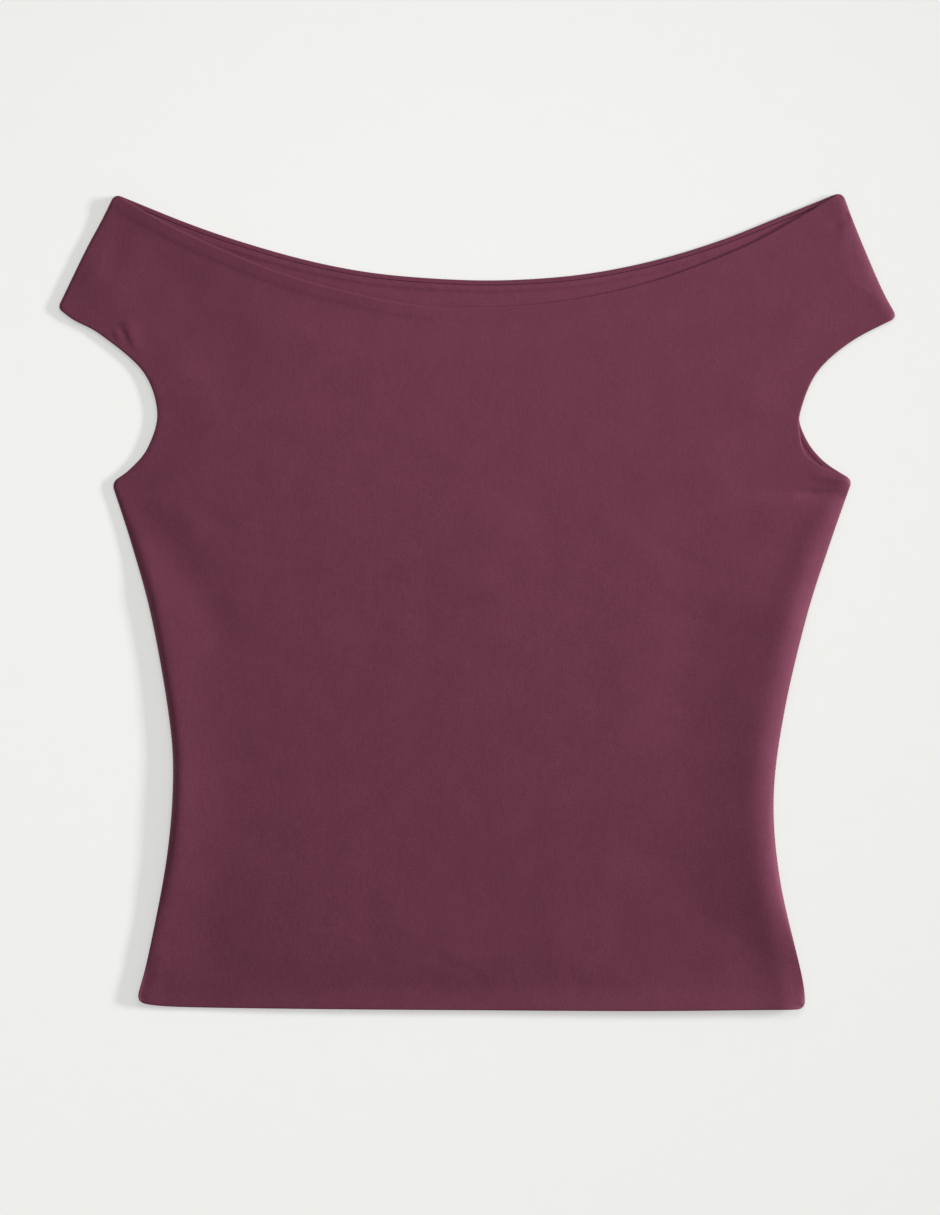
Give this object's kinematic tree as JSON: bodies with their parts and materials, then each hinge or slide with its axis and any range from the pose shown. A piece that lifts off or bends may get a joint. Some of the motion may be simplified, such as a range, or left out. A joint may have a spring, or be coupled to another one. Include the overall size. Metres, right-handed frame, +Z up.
{
  "type": "off-the-shoulder cropped top",
  "caption": "Fitted off-the-shoulder cropped top with cut-on cap sleeves in a self-lined knit, laid flat with its front up on the surface it rests on.",
  "frame": {"origin": "on the surface that carries the top, under the middle of its outline", "axes": "+X across the garment toward the right of the picture, +Y toward the neck, +Z up through its layers, from back to front"},
  "size_m": [0.444, 0.4333, 0.007],
  "materials": {
    "outer_knit": "brushed, matt with a soft sheen",
    "lining_knit": "brushed, matt"
  },
  "bodies": {
    "root": {"front_panel": "outer_knit", "back_panel": "outer_knit", "back_lining": "lining_knit"}
  },
  "joints": []
}
